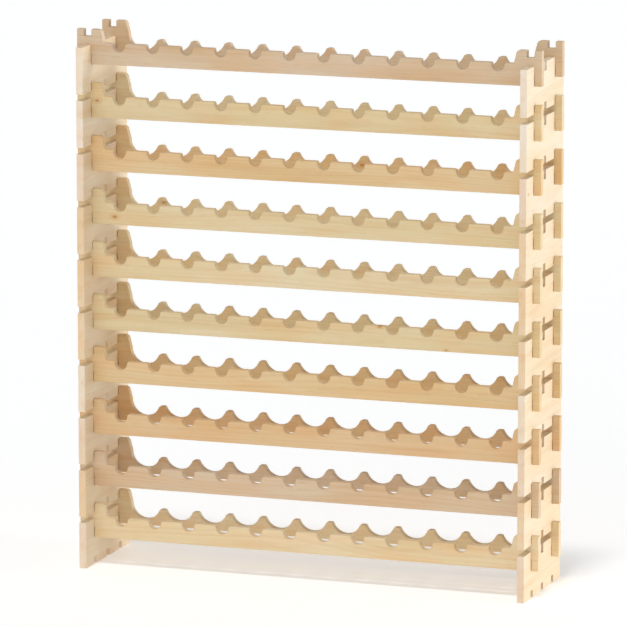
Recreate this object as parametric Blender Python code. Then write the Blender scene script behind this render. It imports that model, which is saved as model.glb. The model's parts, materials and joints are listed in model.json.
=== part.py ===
"""Stacking wine rack in plain pine: ten tiers for twelve bottles each, put together without fasteners.

Each tier is two end boards standing on edge and two scalloped rails that cross them.  A rail drops
into slots in the top edges of its two boards, and the boards of the next tier drop over the notches
in its top edge, so the whole stack is held by cross-lap joints and its own weight.  The lowest boards
stand on the floor, and nothing enters their bottom slots, which are all cut to one depth.

Metres, +Z up.  X runs along the rails, Y from the front (bottle necks) to the rear (bottle bodies),
and the origin is on the floor under the middle of the rack.
"""

from math import acos, asin, atan2, cos, hypot, pi, sin, tan

import bmesh
import bpy
from mathutils import Vector

# The stack
TIERS = 10
BOTTLES_PER_TIER = 12
TIER_PITCH = 0.133
SEAT_GAP = 0.0003          # left between faces that rest on each other

# End boards
BOARD_THICKNESS = 0.018
BOARD_DEPTH = 0.305        # front to rear
BOARD_HEIGHT = 0.117
SLOT_WIDTH = 0.019
SLOT_SPACING = 0.086       # front slot to middle slot to rear slot
TOP_SLOT_DEPTH = 0.0224
FREE_BOTTOM_SLOT_DEPTH = 0.0185   # bottom slots that no rail enters

# Rails
RAIL_LENGTH = 1.200
RAIL_THICKNESS = 0.018
RAIL_HEIGHT = 0.087
RAIL_DROP = 0.0485         # underside of a rail below the top edge of its boards
BOARD_FROM_RAIL_END = 0.028  # middle of the board's thickness
NOTCH_WIDTH = 0.020
TOP_NOTCH_DEPTH = 0.0175
SHOULDER_END = 0.063       # where the full-height end stops, from the rail's end

# Scallops, with heights above the rail's underside
SCALLOP_SPACING = 0.089
NECK_RADIUS = 0.0165
NECK_BOTTOM = 0.033
NECK_TOOTH_TOP = 0.054
NECK_TIP_RADIUS = 0.005
SLOPE_FOOT = 0.071         # foot of the neck rail's end slope, from the rail's end
SLOPE_FOOT_RADIUS = 0.006
SHOULDER_RADIUS = 0.010
BODY_RADIUS = 0.0392
BODY_BOTTOM = 0.016
BODY_TOOTH_TOP = 0.043
BODY_TIP_RADIUS = 0.005

NECK_SIDE_SEGMENTS = 3
BODY_SIDE_SEGMENTS = 4
TIP_SEGMENTS = 2
ROUND_SEGMENTS = 3

# Worked out from the above
RAIL_ABOVE_BOARD = RAIL_HEIGHT - RAIL_DROP
BOARD_GAP = TIER_PITCH - BOARD_HEIGHT
BOTTOM_SLOT_DEPTH = RAIL_ABOVE_BOARD - BOARD_GAP - TOP_NOTCH_DEPTH + SEAT_GAP
BOTTOM_NOTCH_DEPTH = RAIL_DROP - TOP_SLOT_DEPTH + SEAT_GAP
BOARD_X = RAIL_LENGTH / 2 - BOARD_FROM_RAIL_END


def arc(center, radius, start, end, segments):
    """Points on a circle from angle start to angle end, both included."""
    steps = [start + (end - start) * i / segments for i in range(segments + 1)]
    return [(center[0] + radius * cos(a), center[1] + radius * sin(a)) for a in steps]


def rounded(before, corner, after, radius):
    """The arc that rounds the corner of the path before-corner-after."""
    back = (before[0] - corner[0], before[1] - corner[1])
    ahead = (after[0] - corner[0], after[1] - corner[1])
    back_length = hypot(*back)
    ahead_length = hypot(*ahead)
    back = (back[0] / back_length, back[1] / back_length)
    ahead = (ahead[0] / ahead_length, ahead[1] / ahead_length)
    half_angle = acos(back[0] * ahead[0] + back[1] * ahead[1]) / 2
    inward = (back[0] + ahead[0], back[1] + ahead[1])
    reach = radius / sin(half_angle) / hypot(*inward)
    center = (corner[0] + inward[0] * reach, corner[1] + inward[1] * reach)
    run = radius / tan(half_angle)
    start = atan2(corner[1] + back[1] * run - center[1], corner[0] + back[0] * run - center[0])
    turn = pi - 2 * half_angle
    if back[0] * ahead[1] - back[1] * ahead[0] > 0:
        turn = -turn
    return arc(center, radius, start, start + turn, ROUND_SEGMENTS)


def scallop_side(radius, bottom, tooth_top, tip_radius, segments):
    """From the bottom of a scallop centred on x = 0, up its right side, to the top of the tooth."""
    center = (0, bottom + radius)
    tip_z = tooth_top - tip_radius
    dip = asin((center[1] - tip_z) / (radius + tip_radius))
    tip_x = (radius + tip_radius) * cos(dip)
    bowl = arc(center, radius, -pi / 2, -dip, segments)
    tip = arc((tip_x, tip_z), tip_radius, pi - dip, pi / 2, TIP_SEGMENTS)
    return bowl + tip[1:]


def scallop(x, side):
    """A whole scallop at x, from left to right, from its right side."""
    left = [(x - across, z) for across, z in reversed(side)]
    return left + [(x + across, z) for across, z in side[1:]]


def rail_end():
    """The left end of a rail, from its underside inside the board up and over to the shoulder."""
    notch_start = BOARD_FROM_RAIL_END - NOTCH_WIDTH / 2
    notch_end = BOARD_FROM_RAIL_END + NOTCH_WIDTH / 2
    return [
        (notch_end, 0),
        (notch_end, BOTTOM_NOTCH_DEPTH),
        (notch_start, BOTTOM_NOTCH_DEPTH),
        (notch_start, 0),
        (0, 0),
        (0, RAIL_HEIGHT),
        (notch_start, RAIL_HEIGHT),
        (notch_start, RAIL_HEIGHT - TOP_NOTCH_DEPTH),
        (notch_end, RAIL_HEIGHT - TOP_NOTCH_DEPTH),
        (notch_end, RAIL_HEIGHT),
    ]


def scallop_places():
    """Distances of the left half's scallops from the rail's left end."""
    first = (RAIL_LENGTH - (BOTTLES_PER_TIER - 1) * SCALLOP_SPACING) / 2
    return [first + i * SCALLOP_SPACING for i in range(BOTTLES_PER_TIER // 2)]


def front_rail_outline():
    """Left half of the neck rail: a sloped shoulder, a ledge, then small scallops."""
    slope_top = (SHOULDER_END, RAIL_HEIGHT)
    slope_foot = (SLOPE_FOOT, NECK_TOOTH_TOP)
    path = rail_end()
    path += rounded(path[-1], slope_top, slope_foot, SHOULDER_RADIUS)
    path += rounded(slope_top, slope_foot, (RAIL_LENGTH / 2, NECK_TOOTH_TOP), SLOPE_FOOT_RADIUS)
    side = scallop_side(
        NECK_RADIUS, NECK_BOTTOM, NECK_TOOTH_TOP, NECK_TIP_RADIUS, NECK_SIDE_SEGMENTS
    )
    for x in scallop_places():
        path += scallop(x, side)
    return path


def rear_rail_outline():
    """Left half of the body rail: its shoulder runs straight down into the first large scallop."""
    first, *others = scallop_places()
    center = (first, BODY_BOTTOM + BODY_RADIUS)
    widest = (first - BODY_RADIUS, center[1])
    path = rail_end()
    path += rounded(path[-1], (SHOULDER_END, RAIL_HEIGHT), widest, SHOULDER_RADIUS)
    path += arc(center, BODY_RADIUS, pi, 1.5 * pi, BODY_SIDE_SEGMENTS + 1)
    side = scallop_side(
        BODY_RADIUS, BODY_BOTTOM, BODY_TOOTH_TOP, BODY_TIP_RADIUS, BODY_SIDE_SEGMENTS
    )
    path += [(first + across, z) for across, z in side[1:]]
    for x in others:
        path += scallop(x, side)
    return path


def mirrored(half):
    """A whole rail outline, centred on x = 0, from the left half measured from the left end."""
    left = [(x - RAIL_LENGTH / 2, z) for x, z in half]
    return left + [(-x, z) for x, z in reversed(left)]


def slot(y, edge, floor):
    """The four corners of a slot cut at y from an edge of a board to its floor."""
    return [
        (y - SLOT_WIDTH / 2, edge),
        (y - SLOT_WIDTH / 2, floor),
        (y + SLOT_WIDTH / 2, floor),
        (y + SLOT_WIDTH / 2, edge),
    ]


def board_outline(outer_depth):
    """Three slots in each edge, the outer bottom ones cut to outer_depth.  The middle pair is free."""
    places = (-SLOT_SPACING, 0, SLOT_SPACING)
    depths = (outer_depth, FREE_BOTTOM_SLOT_DEPTH, outer_depth)
    half_depth = BOARD_DEPTH / 2
    path = [(-half_depth, 0)]
    for y, depth in zip(places, depths):
        path += slot(y, 0, depth)
    path += [(half_depth, 0), (half_depth, BOARD_HEIGHT)]
    for y in reversed(places):
        path += reversed(slot(y, BOARD_HEIGHT, BOARD_HEIGHT - TOP_SLOT_DEPTH))
    path.append((-half_depth, BOARD_HEIGHT))
    return path


def plank(name, outline, thickness, along, through):
    """A mesh cut to an outline drawn along one axis and up, with its thickness along another."""
    bm = bmesh.new()
    near = through * (-thickness / 2)
    corners = [bm.verts.new(near + along * run + Vector((0, 0, z))) for run, z in outline]
    face = bm.faces.new(corners)
    extruded = bmesh.ops.extrude_face_region(bm, geom=[face])
    moved = [item for item in extruded["geom"] if isinstance(item, bmesh.types.BMVert)]
    bmesh.ops.translate(bm, verts=moved, vec=through * thickness)
    bmesh.ops.recalc_face_normals(bm, faces=bm.faces)
    mesh = bpy.data.meshes.new(name)
    bm.to_mesh(mesh)
    bm.free()
    return mesh


def pine(name, color, roughness):
    material = bpy.data.materials.new(name)
    material.use_nodes = True
    shader = material.node_tree.nodes["Principled BSDF"]
    shader.inputs["Base Color"].default_value = (*color, 1)
    shader.inputs["Roughness"].default_value = roughness
    shader.inputs["Metallic"].default_value = 0
    return material


def add_piece(name, mesh, location, parent):
    piece = bpy.data.objects.new(name, mesh)
    piece.location = location
    piece.parent = parent
    bpy.context.collection.objects.link(piece)


def main():
    for old in list(bpy.data.objects):
        bpy.data.objects.remove(old, do_unlink=True)

    x_axis = Vector((1, 0, 0))
    y_axis = Vector((0, 1, 0))
    lowest = plank("lowest_board", board_outline(FREE_BOTTOM_SLOT_DEPTH), BOARD_THICKNESS, y_axis, x_axis)
    upper = plank("upper_board", board_outline(BOTTOM_SLOT_DEPTH), BOARD_THICKNESS, y_axis, x_axis)
    front = plank("front_rail", mirrored(front_rail_outline()), RAIL_THICKNESS, x_axis, y_axis)
    rear = plank("rear_rail", mirrored(rear_rail_outline()), RAIL_THICKNESS, x_axis, y_axis)
    board_pine = pine("board_pine", (0.80, 0.69, 0.53), 0.6)
    lowest.materials.append(board_pine)
    upper.materials.append(board_pine)
    front.materials.append(pine("front_rail_pine", (0.72, 0.57, 0.34), 0.6))
    rear.materials.append(pine("rear_rail_pine", (0.70, 0.55, 0.33), 0.6))

    rail_z = BOARD_HEIGHT - RAIL_DROP
    for tier in range(1, TIERS + 1):
        floor = bpy.data.objects.new(f"tier_{tier:02d}", None)
        floor.location.z = (tier - 1) * TIER_PITCH
        bpy.context.collection.objects.link(floor)
        board = lowest if tier == 1 else upper
        add_piece(f"end_board_left_{tier:02d}", board, (-BOARD_X, 0, 0), floor)
        add_piece(f"end_board_right_{tier:02d}", board, (BOARD_X, 0, 0), floor)
        add_piece(f"front_rail_{tier:02d}", front, (0, -SLOT_SPACING, rail_z), floor)
        add_piece(f"rear_rail_{tier:02d}", rear, (0, SLOT_SPACING, rail_z), floor)


main()
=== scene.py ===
"""Looks for the stacking wine rack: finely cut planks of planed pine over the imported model.

Metres, +Z up.  X runs along the rails and -Y is the front.  Every plank is made in its own frame,
with the grain along its X axis, its thickness along Y and its underside at Z = 0.
"""

import json
import random
from math import acos, asin, atan2, cos, pi, radians, sin, tan

import bmesh
import bpy
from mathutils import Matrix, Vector


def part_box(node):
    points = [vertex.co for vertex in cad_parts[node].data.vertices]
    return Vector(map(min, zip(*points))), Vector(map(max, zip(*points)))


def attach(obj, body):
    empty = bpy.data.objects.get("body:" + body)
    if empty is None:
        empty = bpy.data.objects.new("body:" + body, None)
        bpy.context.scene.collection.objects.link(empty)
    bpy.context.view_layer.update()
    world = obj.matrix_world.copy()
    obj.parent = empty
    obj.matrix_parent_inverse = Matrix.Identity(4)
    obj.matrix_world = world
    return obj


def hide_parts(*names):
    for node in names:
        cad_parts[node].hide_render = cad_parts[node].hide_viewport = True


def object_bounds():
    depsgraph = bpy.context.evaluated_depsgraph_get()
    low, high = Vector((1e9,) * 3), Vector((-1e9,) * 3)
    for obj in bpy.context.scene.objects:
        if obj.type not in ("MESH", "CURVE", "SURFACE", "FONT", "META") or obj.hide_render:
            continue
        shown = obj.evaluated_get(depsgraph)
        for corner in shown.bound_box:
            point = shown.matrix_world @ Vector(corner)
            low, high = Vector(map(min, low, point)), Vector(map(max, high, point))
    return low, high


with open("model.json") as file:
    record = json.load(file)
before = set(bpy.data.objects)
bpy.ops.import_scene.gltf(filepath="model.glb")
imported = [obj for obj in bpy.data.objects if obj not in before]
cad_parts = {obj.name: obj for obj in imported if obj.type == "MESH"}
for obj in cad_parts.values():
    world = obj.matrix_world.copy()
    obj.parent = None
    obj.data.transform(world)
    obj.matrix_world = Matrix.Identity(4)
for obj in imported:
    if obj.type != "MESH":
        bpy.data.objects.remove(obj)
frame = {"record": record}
cad_low, cad_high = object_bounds()
record = frame["record"]

TIERS = 10
BOTTLES_PER_TIER = 12
TIER_PITCH = 0.133
SEAT_GAP = 0.0003   # air between two pieces where one sits on the other

# Slots of the end boards
SLOT_WIDTH = 0.019
SLOT_SPACING = 0.086
TOP_SLOT_DEPTH = 0.0224
FREE_BOTTOM_SLOT_DEPTH = 0.0185   # bottom slots that no rail enters

# Ends of the rails
RAIL_DROP = 0.0485          # underside of a rail below the top edge of its boards
BOARD_FROM_RAIL_END = 0.028
NOTCH_WIDTH = 0.020
TOP_NOTCH_DEPTH = 0.0175
SHOULDER_END = 0.063
SHOULDER_RADIUS = 0.010

# Scallops, with heights above the rail's underside
SCALLOP_SPACING = 0.089
NECK_RADIUS = 0.0165
NECK_BOTTOM = 0.033
NECK_TOOTH_TOP = 0.054
NECK_TIP_RADIUS = 0.005
SLOPE_FOOT = 0.071
SLOPE_FOOT_RADIUS = 0.006
BODY_RADIUS = 0.0392
BODY_BOTTOM = 0.016
BODY_TOOTH_TOP = 0.043
BODY_TIP_RADIUS = 0.005

# Fineness of the cut edges
ARC_STEP = radians(5)
EDGE_RADIUS = 0.0009
EDGE_SEGMENTS = 2
SHARP_ANGLE = radians(30)
FACE_WEIGHT = 60   # how much large faces outweigh the eased edges in the shading

# Tones of single planks, as factors on their slot's colour
GOLDEN = (1.04, 0.995, 0.95)
ROSY = (1.02, 0.93, 0.90)
STRAW = (1.04, 1.10, 1.15)
DULL = (0.95, 0.95, 1.12)
PALE = (1.07, 1.14, 1.24)
# Only the lowest rail takes this: its own pale tone, lightened further as painted light against the
# dimmer light it gets near the floor
PALE_AND_PAINTED_LIGHT = (1.11, 1.17, 1.29)
RAIL_TONES = (PALE_AND_PAINTED_LIGHT, DULL, ROSY, GOLDEN, STRAW, PALE, STRAW, GOLDEN, STRAW, DULL)
CREAM = (1.08, 1.13, 1.25)
PLAIN = (1.03, 1.00, 1.03)
HONEY = (1.03, 0.94, 0.83)
BOARD_TONES = (PLAIN, HONEY, PLAIN, CREAM, HONEY, HONEY, HONEY, PLAIN, CREAM, CREAM)
BOARD_FACE_SHARE = 0.25   # how far a board's faces follow its tone, which its cut ends show in full

# Base colours, and the colours of the cut ends as factors on them, the rails' partly painted light
BOARD_COLOR = (0.81, 0.705, 0.535)
RAIL_COLOR = (0.70, 0.55, 0.33)
# The rails' cut ends are lightened rather than darkened as pine end grain is: painted light, as from
# the strong light on them
RAIL_END_PAINTED_LIGHT = (1.02, 1.05, 1.12)
BOARD_END_TINT = (0.97, 0.945, 0.955)

# How strongly the growth rings show
BOARD_FIGURE = 0.12
RAIL_FIGURE = 0.17

# Where a plank was in its tree: the pith's distance from it, sideways and up
PITH_SIDEWAYS = (0.035, 0.090)
PITH_UP = (0.01, 0.09)
NOISE_REACH = 40   # every plank has its own place in the noises, up to this far out, so none are alike

# Noises of the grain: how fast each changes along a plank, through it and up it, per metre
WANDER = (1.3, 7, 7)
WOBBLE = (7, 40, 40)
RIPPLE = (120, 40, 120)
FIBRES = (7, 420, 420)
STREAKS = (2.2, 30, 30)
CLOUDS = (2.5, 7, 7)
BLUSH = (5, 24, 24)
CANALS = (30, 700, 700)

# Growth rings
RING_SPACING = 0.0060
WANDER_DEPTH = 0.050
WOBBLE_DEPTH = 0.0024
LATE_WOOD_RISE = (0.20, 0.88)   # from where to where in a ring the late wood darkens
LATE_WOOD_FALL = (0.90, 1.0)
FAINTEST_RING = 0.3             # against the strongest ring, which counts as 1

# Knots, with distances as shares of a cell, which holds one knot at most
KNOT_CELL = (0.170, 0.100)
KNOT_SHARE = 0.08               # of the cells that have a knot
RIPPLE_DEPTH = 0.012
KNOT_SMALLEST = 0.6             # times the sizes below, and the largest knot is twice this
KNOT_HEART = (0.022, 0.040)     # from where to where the heart fades out
KNOT_RIM = (0.036, 0.120)
KNOT_SWELL = 0.010              # how far the rings bend around a knot, in metres

# Colours of the grain, as factors on the colour of the wood
WARM_TINT = (0.98, 0.94, 0.86)
BLUSH_TINT = (1.01, 0.92, 0.85)
LATE_WOOD_TINT = (0.86, 0.76, 0.62)
STREAK_TINT = (0.92, 0.84, 0.74)
FIBRE_TINT = (0.88, 0.82, 0.74)
CANAL_TINT = (0.70, 0.56, 0.42)
KNOT_RIM_TINT = (0.86, 0.68, 0.48)
KNOT_HEART_TINT = (0.68, 0.47, 0.31)
HANDLED_TINT = (0.94, 0.90, 0.84)

# Values of its noise, or of a face's turn to the grain, between which each tint comes in
WARM_BAND = (0.35, 0.65)
BLUSH_BAND = (0.42, 0.66)
STREAK_BAND = (0.50, 0.72)
FIBRE_BAND = (0.35, 0.75)
CANAL_BAND = (0.66, 0.74)
HANDLED_BAND = (0.3, 0.7)
END_GRAIN_BAND = (0.35, 0.95)

# How far each tint goes
BLUSH_SHARE = 5       # times the plank's figure
LATE_WOOD_SHARE = 2   # times the plank's figure
STREAK_SHARE = 0.6
FIBRE_SHARE = 0.35
CANAL_SHARE = 0.35
KNOT_RIM_SHARE = 0.45
KNOT_HEART_SHARE = 0.85
HANDLED_SHARES = (0.15, 0.6)

# Finish of the planed surface, and what each part of the grain adds to it
PLANED_ROUGHNESS = 0.46
FIBRE_ROUGHNESS = 0.16
END_GRAIN_ROUGHNESS = 0.16
LATE_WOOD_ROUGHNESS = -0.06
PLANED_SPECULAR = 0.35
FIBRE_RELIEF = 0.6
LATE_WOOD_RELIEF = 0.5
CANAL_RELIEF = -0.3
RELIEF_STRENGTH = 0.35
RELIEF_DEPTH = 0.0003

# Studio: brightness of the walls, of the ceiling and of the light table that the rack stands on
WALL_LIGHT = 1.0
CEILING_LIGHT = 0.1
FLOOR_GLOW = 0.27
FLOOR_COLOR = (0.945, 0.955, 0.965)
FLOOR_ROUGHNESS = 0.9
FLOOR_REACH = 30
FLOOR_DROP = 0.0002   # keeps the floor clear of the lowest boards
WHITE = (1, 1, 1, 1)

# Softboxes, as distant suns: where each one stands, its strength and its spread in degrees
SOFTBOXES = {
    "side_light": ((3, 0.15, 0.20), 1.5, 8),
    "overhead": ((0, -0.8, 3), 0.95, 8),
    "front_fill": ((-0.2, -3, 0.6), 0.55, 60),
}

# Camera: a long lens from the right of the front
CAMERA_YAW = 19.15
CAMERA_PITCH = 10.68
CAMERA_DISTANCE = 14.84
CAMERA_TARGET = Vector((-0.0144, 0, 0.6560))
CAMERA_LENS = 344.5
SENSOR_WIDTH = 36
CLIP_END = 200


def arc(center, radius, start, end):
    """Points on a circle from angle start to angle end, both included."""
    segments = max(2, round(abs(end - start) / ARC_STEP))
    steps = [start + (end - start) * i / segments for i in range(segments + 1)]
    return [(center[0] + radius * cos(a), center[1] + radius * sin(a)) for a in steps]


def rounded(before, corner, after, radius):
    """The arc that rounds the corner of the path before-corner-after."""
    back = Vector(before) - Vector(corner)
    ahead = Vector(after) - Vector(corner)
    back.normalize()
    ahead.normalize()
    half_angle = acos(back.dot(ahead)) / 2
    run = radius / tan(half_angle)
    center = Vector(corner) + (back + ahead).normalized() * (radius / sin(half_angle))
    first = Vector(corner) + back * run - center
    start = atan2(first.y, first.x)
    turn = pi - 2 * half_angle
    if back.cross(ahead) > 0:
        turn = -turn
    return arc(center, radius, start, start + turn)


def scallop_side(radius, bottom, tooth_top, tip_radius):
    """From the bottom of a scallop centred on x = 0, up its right side, to the top of the tooth."""
    center = (0, bottom + radius)
    tip_z = tooth_top - tip_radius
    dip = asin((center[1] - tip_z) / (radius + tip_radius))
    tip_x = (radius + tip_radius) * cos(dip)
    bowl = arc(center, radius, -pi / 2, -dip)
    tip = arc((tip_x, tip_z), tip_radius, pi - dip, pi / 2)
    return bowl + tip[1:]


def scallop(x, side):
    """A whole scallop at x, from left to right, from its right side."""
    left = [(x - across, z) for across, z in reversed(side)]
    return left + [(x + across, z) for across, z in side[1:]]


def rail_end(height):
    """The left end of a rail, from its underside inside the board up and over to the shoulder."""
    notch_start = BOARD_FROM_RAIL_END - NOTCH_WIDTH / 2
    notch_end = BOARD_FROM_RAIL_END + NOTCH_WIDTH / 2
    bottom_notch_depth = RAIL_DROP - TOP_SLOT_DEPTH + SEAT_GAP
    return [
        (notch_end, 0),
        (notch_end, bottom_notch_depth),
        (notch_start, bottom_notch_depth),
        (notch_start, 0),
        (0, 0),
        (0, height),
        (notch_start, height),
        (notch_start, height - TOP_NOTCH_DEPTH),
        (notch_end, height - TOP_NOTCH_DEPTH),
        (notch_end, height),
    ]


def scallop_places(length):
    """Distances of the left half's scallops from the rail's left end."""
    first = (length - (BOTTLES_PER_TIER - 1) * SCALLOP_SPACING) / 2
    return [first + i * SCALLOP_SPACING for i in range(BOTTLES_PER_TIER // 2)]


def front_rail_outline(length, height):
    """Left half of the neck rail: a sloped shoulder, a ledge, then small scallops."""
    slope_top = (SHOULDER_END, height)
    slope_foot = (SLOPE_FOOT, NECK_TOOTH_TOP)
    path = rail_end(height)
    path += rounded(path[-1], slope_top, slope_foot, SHOULDER_RADIUS)
    path += rounded(slope_top, slope_foot, (length / 2, NECK_TOOTH_TOP), SLOPE_FOOT_RADIUS)
    side = scallop_side(NECK_RADIUS, NECK_BOTTOM, NECK_TOOTH_TOP, NECK_TIP_RADIUS)
    for x in scallop_places(length):
        path += scallop(x, side)
    return path


def rear_rail_outline(length, height):
    """Left half of the body rail: its shoulder runs straight down into the first large scallop."""
    first, *others = scallop_places(length)
    center = (first, BODY_BOTTOM + BODY_RADIUS)
    widest = (first - BODY_RADIUS, center[1])
    path = rail_end(height)
    path += rounded(path[-1], (SHOULDER_END, height), widest, SHOULDER_RADIUS)
    path += arc(center, BODY_RADIUS, pi, 1.5 * pi)
    side = scallop_side(BODY_RADIUS, BODY_BOTTOM, BODY_TOOTH_TOP, BODY_TIP_RADIUS)
    path += [(first + across, z) for across, z in side[1:]]
    for x in others:
        path += scallop(x, side)
    return path


def mirrored(half, length):
    """A whole rail outline, centred on x = 0, from the left half measured from the left end."""
    left = [(x - length / 2, z) for x, z in half]
    return left + [(-x, z) for x, z in reversed(left)]


def slot(x, edge, floor):
    """The four corners of a slot cut at x from an edge of a board to its floor."""
    return [
        (x - SLOT_WIDTH / 2, edge),
        (x - SLOT_WIDTH / 2, floor),
        (x + SLOT_WIDTH / 2, floor),
        (x + SLOT_WIDTH / 2, edge),
    ]


def board_outline(length, height, outer_depth):
    """Three slots in each edge, the outer bottom ones cut to outer_depth.  The middle pair is free."""
    places = (-SLOT_SPACING, 0, SLOT_SPACING)
    path = [(-length / 2, 0)]
    for x, depth in zip(places, (outer_depth, FREE_BOTTOM_SLOT_DEPTH, outer_depth)):
        path += slot(x, 0, depth)
    path += [(length / 2, 0), (length / 2, height)]
    for x in reversed(places):
        path += reversed(slot(x, height, height - TOP_SLOT_DEPTH))
    path.append((-length / 2, height))
    return path


def node_size(node):
    low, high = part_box(node)
    return high - low


def plank_mesh(name, outline, thickness):
    """A plank sawn to an outline, with its edges eased.  The eased faces are marked for the finish."""
    bm = bmesh.new()
    corners = [bm.verts.new((x, -thickness / 2, z)) for x, z in outline]
    face = bm.faces.new(corners)
    extruded = bmesh.ops.extrude_face_region(bm, geom=[face])
    moved = [item for item in extruded["geom"] if isinstance(item, bmesh.types.BMVert)]
    bmesh.ops.translate(bm, verts=moved, vec=(0, thickness, 0))
    bmesh.ops.recalc_face_normals(bm, faces=bm.faces)
    sharp = [edge for edge in bm.edges if edge.calc_face_angle() > SHARP_ANGLE]
    wear = bm.faces.layers.float.new("eased_edge")
    eased = bmesh.ops.bevel(
        bm,
        geom=sharp,
        offset=EDGE_RADIUS,
        segments=EDGE_SEGMENTS,
        profile=0.5,
        affect="EDGES",
        clamp_overlap=True,
    )
    for face in eased["faces"]:
        face[wear] = 1
    for face in bm.faces:
        face.smooth = True
    mesh = bpy.data.meshes.new(name)
    bm.to_mesh(mesh)
    bm.free()
    return mesh


class Tree:
    """The node tree of a material or a world, with a short call for each kind of node in use."""

    def __init__(self, owner):
        self.nodes = owner.node_tree.nodes
        self.links = owner.node_tree.links

    def add(self, kind, inputs, output=0, **settings):
        """A new node's output.  Each input is a number, a tuple or another node's output."""
        node = self.nodes.new(kind)
        for name, value in settings.items():
            setattr(node, name, value)
        for name, value in inputs.items():
            self.put(node.inputs[name], value)
        return node.outputs[output]

    def put(self, socket, value):
        if isinstance(value, bpy.types.NodeSocket):
            self.links.new(value, socket)
        else:
            socket.default_value = value

    def math(self, operation, *values):
        return self.add("ShaderNodeMath", dict(enumerate(values)), operation=operation)

    def vector(self, x, y, z):
        return self.add("ShaderNodeCombineXYZ", {0: x, 1: y, 2: z})

    def stretched(self, place, offset, scale):
        """A place moved by offset and then scaled along each axis."""
        moved = self.add("ShaderNodeVectorMath", {0: place, 1: offset}, operation="ADD")
        return self.add("ShaderNodeVectorMath", {0: moved, 1: scale}, operation="MULTIPLY")

    def noise(self, place, offset, scale, detail=2.0, roughness=0.5):
        """Noise around 0.5 that changes at its own speed along each axis."""
        place = self.stretched(place, offset, scale)
        inputs = {"Vector": place, "Scale": 1.0, "Detail": detail, "Roughness": roughness}
        return self.add("ShaderNodeTexNoise", inputs)

    def ramp(self, value, limits, start=0.0, end=1.0):
        """A smooth step from start at the lower limit of value to end at the upper one."""
        inputs = {
            "Value": value,
            "From Min": limits[0],
            "From Max": limits[1],
            "To Min": start,
            "To Max": end,
        }
        return self.add("ShaderNodeMapRange", inputs, interpolation_type="SMOOTHSTEP")

    def mix(self, share, first, second, blend="MIX"):
        """Two colours mixed, by the numbered sockets that a Mix node has for its colours."""
        settings = {"data_type": "RGBA", "blend_type": blend, "clamp_factor": True}
        return self.add("ShaderNodeMix", {0: share, 6: first, 7: second}, output=2, **settings)

    def tint(self, color, share, factor):
        """The colour times a factor colour, as far as share says."""
        return self.mix(share, color, (*factor, 1), blend="MULTIPLY")


def growth_rings(tree, place, offset, pith, swell):
    """Where a point lies in its growth ring, from 0 in the early wood to 1 in the late wood."""
    wander = tree.noise(place, offset, WANDER, detail=1.0)
    wobble = tree.noise(place, offset, WOBBLE)
    across = tree.stretched(place, (0, -pith[0], -pith[1]), (0, 1, 1))
    radius = tree.add("ShaderNodeVectorMath", {0: across}, output="Value", operation="LENGTH")
    radius = tree.math("MULTIPLY_ADD", wander, WANDER_DEPTH, radius)
    radius = tree.math("MULTIPLY_ADD", wobble, WOBBLE_DEPTH, radius)
    years = tree.math("DIVIDE", tree.math("ADD", radius, swell), RING_SPACING)
    ring = tree.math("FRACT", years)
    year = tree.math("FLOOR", years)
    harshness = tree.add("ShaderNodeTexWhiteNoise", {"W": year}, noise_dimensions="1D")
    rise = tree.ramp(ring, LATE_WOOD_RISE)
    fall = tree.ramp(ring, LATE_WOOD_FALL, 1.0, 0.0)
    strength = tree.math("MULTIPLY_ADD", harshness, 1 - FAINTEST_RING, FAINTEST_RING)
    return tree.math("MULTIPLY", tree.math("MULTIPLY", rise, fall), strength)


def knots(tree, place, offset):
    """How much a point belongs to a knot's heart, to its rim, and how far it pushes the rings aside."""
    x, z = (tree.add("ShaderNodeSeparateXYZ", {0: place}, output=axis) for axis in "XZ")
    flat = tree.vector(x, z, 0.0)
    cells = tree.stretched(flat, offset, (1 / KNOT_CELL[0], 1 / KNOT_CELL[1], 0))
    ripple = tree.noise(place, offset, RIPPLE)
    inputs = {"Vector": cells, "Scale": 1.0}
    settings = {"voronoi_dimensions": "2D", "feature": "F1"}
    distance = tree.add("ShaderNodeTexVoronoi", inputs, output="Distance", **settings)
    color = tree.add("ShaderNodeTexVoronoi", inputs, output="Color", **settings)
    chance = tree.add("ShaderNodeSeparateColor", {0: color}, output="Red")
    size = tree.add("ShaderNodeSeparateColor", {0: color}, output="Green")
    kept = tree.math("LESS_THAN", chance, KNOT_SHARE)
    centred = tree.math("SUBTRACT", distance, RIPPLE_DEPTH / 2)
    away = tree.math("MULTIPLY_ADD", ripple, RIPPLE_DEPTH, centred)
    away = tree.math("DIVIDE", away, tree.math("MULTIPLY_ADD", size, KNOT_SMALLEST, KNOT_SMALLEST))
    heart = tree.math("MULTIPLY", kept, tree.ramp(away, KNOT_HEART, 1.0, 0.0))
    rim = tree.math("MULTIPLY", kept, tree.ramp(away, KNOT_RIM, 1.0, 0.0))
    swell = tree.math("MULTIPLY", rim, KNOT_SWELL)
    return heart, rim, swell


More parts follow.
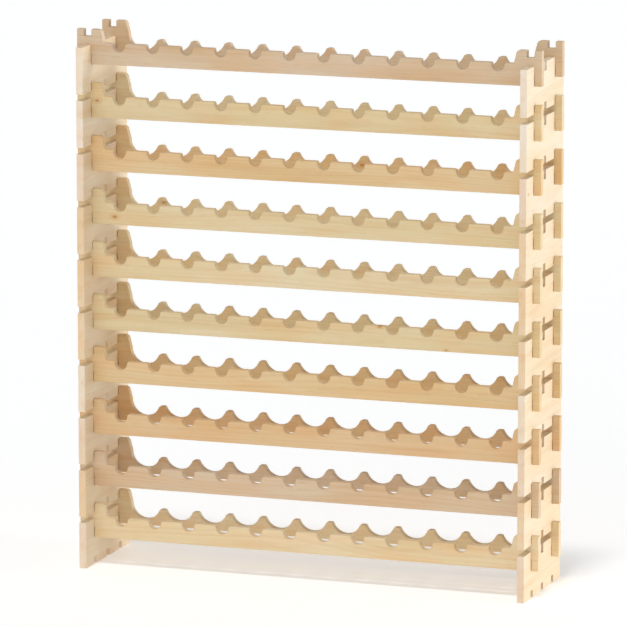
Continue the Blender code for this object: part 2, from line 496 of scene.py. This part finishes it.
def pine(name, color, end_tint, figure, seed):
    """Planed pine whose grain runs along the piece's own X axis."""
    choose = random.Random(seed)
    offset = tuple(choose.uniform(-NOISE_REACH, NOISE_REACH) for _ in range(3))
    side = choose.choice((-1, 1))
    pith = (side * choose.uniform(*PITH_SIDEWAYS), choose.uniform(*PITH_UP))
    material = bpy.data.materials.new(name)
    material.use_nodes = True
    tree = Tree(material)
    shader = tree.nodes["Principled BSDF"]
    place = tree.add("ShaderNodeTexCoord", {}, output="Object")
    normal = tree.add("ShaderNodeTexCoord", {}, output="Normal")

    heart, rim, swell = knots(tree, place, offset)
    late = growth_rings(tree, place, offset, pith, swell)
    fibres = tree.noise(place, offset, FIBRES, detail=3.0, roughness=0.6)
    streaks = tree.noise(place, offset, STREAKS)
    clouds = tree.noise(place, offset, CLOUDS, detail=1.0)
    blush = tree.noise(place, offset, BLUSH)
    canals = tree.noise(place, offset, CANALS, detail=1.0)
    along = tree.add("ShaderNodeSeparateXYZ", {0: normal}, output="X")
    end_grain = tree.ramp(tree.math("ABSOLUTE", along), END_GRAIN_BAND)
    worn = tree.add("ShaderNodeAttribute", {}, output="Fac", attribute_name="eased_edge")

    warm = tuple(channel * factor for channel, factor in zip(color, WARM_TINT))
    wood = tree.mix(tree.ramp(clouds, WARM_BAND), (*color, 1), (*warm, 1))
    wood = tree.tint(wood, tree.ramp(blush, BLUSH_BAND, end=BLUSH_SHARE * figure), BLUSH_TINT)
    wood = tree.tint(wood, tree.math("MULTIPLY", late, LATE_WOOD_SHARE * figure), LATE_WOOD_TINT)
    wood = tree.tint(wood, tree.ramp(streaks, STREAK_BAND, end=STREAK_SHARE), STREAK_TINT)
    wood = tree.tint(wood, tree.ramp(fibres, FIBRE_BAND, end=FIBRE_SHARE), FIBRE_TINT)
    wood = tree.tint(wood, tree.ramp(canals, CANAL_BAND, end=CANAL_SHARE), CANAL_TINT)
    wood = tree.tint(wood, tree.math("MULTIPLY", rim, KNOT_RIM_SHARE), KNOT_RIM_TINT)
    wood = tree.tint(wood, tree.math("MULTIPLY", heart, KNOT_HEART_SHARE), KNOT_HEART_TINT)
    # On the rails this lightens every cut end, scallop walls too, as painted light; on the boards it is
    # their own slightly darker end grain
    wood = tree.tint(wood, end_grain, end_tint)
    handled = tree.math("MULTIPLY", worn, tree.ramp(clouds, HANDLED_BAND, *HANDLED_SHARES))
    wood = tree.tint(wood, handled, HANDLED_TINT)
    tree.put(shader.inputs["Base Color"], wood)

    rough = tree.math("MULTIPLY_ADD", fibres, FIBRE_ROUGHNESS, PLANED_ROUGHNESS)
    rough = tree.math("MULTIPLY_ADD", end_grain, END_GRAIN_ROUGHNESS, rough)
    rough = tree.math("MULTIPLY_ADD", late, LATE_WOOD_ROUGHNESS, rough)
    tree.put(shader.inputs["Roughness"], rough)
    shader.inputs["Specular IOR Level"].default_value = PLANED_SPECULAR

    relief = tree.math("MULTIPLY", late, LATE_WOOD_RELIEF)
    relief = tree.math("MULTIPLY_ADD", fibres, FIBRE_RELIEF, relief)
    relief = tree.math("MULTIPLY_ADD", canals, CANAL_RELIEF, relief)
    inputs = {"Strength": RELIEF_STRENGTH, "Distance": RELIEF_DEPTH, "Height": relief}
    tree.put(shader.inputs["Normal"], tree.add("ShaderNodeBump", inputs))
    return material


def add_plank(node, mesh, turn, color, tone, end_tint, figure):
    """Puts a fine plank in a CAD node's place, on its body."""
    low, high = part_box(node)
    piece = bpy.data.objects.new(f"{node}_pine", mesh.copy())
    piece.location = ((low.x + high.x) / 2, (low.y + high.y) / 2, low.z)
    piece.rotation_euler.z = turn
    bpy.context.scene.collection.objects.link(piece)
    toned = tuple(channel * factor for channel, factor in zip(color, tone))
    piece.data.materials.append(pine(f"{node}_pine", toned, end_tint, figure, node))
    weighted = piece.modifiers.new("flat_faces_stay_flat", "WEIGHTED_NORMAL")
    weighted.weight = FACE_WEIGHT
    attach(piece, BODY_OF[node])
    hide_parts(node)


def add_floor():
    """A plain pale floor, a hair below the lowest boards."""
    mesh = bpy.data.meshes.new("floor")
    reach = FLOOR_REACH
    corners = [(-reach, -reach, 0), (reach, -reach, 0), (reach, reach, 0), (-reach, reach, 0)]
    mesh.from_pydata(corners, [], [(0, 1, 2, 3)])
    floor = bpy.data.objects.new("floor", mesh)
    floor.location.z = cad_low.z - FLOOR_DROP
    bpy.context.scene.collection.objects.link(floor)
    material = bpy.data.materials.new("floor_white")
    material.use_nodes = True
    shader = material.node_tree.nodes["Principled BSDF"]
    shader.inputs["Base Color"].default_value = (*FLOOR_COLOR, 1)
    shader.inputs["Roughness"].default_value = FLOOR_ROUGHNESS
    shader.inputs["Emission Color"].default_value = WHITE
    shader.inputs["Emission Strength"].default_value = FLOOR_GLOW
    mesh.materials.append(material)


def add_softboxes():
    """Even light from a few directions, each as from a wide and distant softbox."""
    for name, (place, strength, spread) in SOFTBOXES.items():
        light = bpy.data.lights.new(name, "SUN")
        light.energy = strength
        light.angle = radians(spread)
        lamp = bpy.data.objects.new(name, light)
        lamp.location = place
        aim = Vector((0, 0, 0)) - Vector(place)
        lamp.rotation_euler = aim.to_track_quat("-Z", "Y").to_euler()
        bpy.context.scene.collection.objects.link(lamp)


def add_world():
    """A studio with bright walls and a dim ceiling, so that top faces stay darker than upright ones."""
    world = bpy.data.worlds.new("white_studio")
    world.use_nodes = True
    tree = Tree(world)
    direction = tree.add("ShaderNodeTexCoord", {}, output="Generated")
    height = tree.add("ShaderNodeSeparateXYZ", {0: direction}, output="Z")
    inputs = {"Value": height, "To Min": WALL_LIGHT, "To Max": CEILING_LIGHT}
    brightness = tree.add("ShaderNodeMapRange", inputs)
    background = tree.nodes["Background"]
    background.inputs["Color"].default_value = WHITE
    tree.put(background.inputs["Strength"], brightness)
    bpy.context.scene.world = world


def add_camera():
    yaw = radians(CAMERA_YAW)
    pitch = radians(CAMERA_PITCH)
    back = Vector((sin(yaw) * cos(pitch), -cos(yaw) * cos(pitch), sin(pitch)))
    data = bpy.data.cameras.new("camera")
    data.lens = CAMERA_LENS
    data.sensor_width = SENSOR_WIDTH
    data.clip_end = CLIP_END
    camera = bpy.data.objects.new("camera", data)
    camera.location = CAMERA_TARGET + back * CAMERA_DISTANCE
    camera.rotation_euler = (-back).to_track_quat("-Z", "Y").to_euler()
    bpy.context.scene.collection.objects.link(camera)
    bpy.context.scene.camera = camera


bodies = record["behaviour"]["bodies"]
BODY_OF = {node: body for body, nodes in bodies.items() for node in nodes}

board_size = node_size("end_board_left_01")
rail_size = node_size("front_rail_01")
# Outer bottom slots of an upper board are just deep enough to rest on the notches of the rails below.
seat_depth = rail_size.z - RAIL_DROP - (TIER_PITCH - board_size.z) - TOP_NOTCH_DEPTH + SEAT_GAP
lowest_outline = board_outline(board_size.y, board_size.z, FREE_BOTTOM_SLOT_DEPTH)
upper_outline = board_outline(board_size.y, board_size.z, seat_depth)
lowest_mesh = plank_mesh("lowest_board", lowest_outline, board_size.x)
upper_mesh = plank_mesh("upper_board", upper_outline, board_size.x)
front_half = front_rail_outline(rail_size.x, rail_size.z)
rear_half = rear_rail_outline(rail_size.x, rail_size.z)
front_mesh = plank_mesh("front_rail", mirrored(front_half, rail_size.x), rail_size.y)
rear_mesh = plank_mesh("rear_rail", mirrored(rear_half, rail_size.x), rail_size.y)

for tier in range(1, TIERS + 1):
    tone = BOARD_TONES[tier - 1]
    face_tone = [1 + BOARD_FACE_SHARE * (factor - 1) for factor in tone]
    end_tint = [tint * whole / face for tint, whole, face in zip(BOARD_END_TINT, tone, face_tone)]
    board_mesh = lowest_mesh if tier == 1 else upper_mesh
    for side, turn in (("left", pi / 2), ("right", -pi / 2)):
        node = f"end_board_{side}_{tier:02d}"
        add_plank(node, board_mesh, turn, BOARD_COLOR, face_tone, end_tint, BOARD_FIGURE)
    tone = RAIL_TONES[tier - 1]
    for place, mesh in (("front", front_mesh), ("rear", rear_mesh)):
        node = f"{place}_rail_{tier:02d}"
        add_plank(node, mesh, 0, RAIL_COLOR, tone, RAIL_END_PAINTED_LIGHT, RAIL_FIGURE)

add_floor()
add_world()
add_softboxes()
add_camera()
bpy.context.scene.view_settings.view_transform = "Standard"
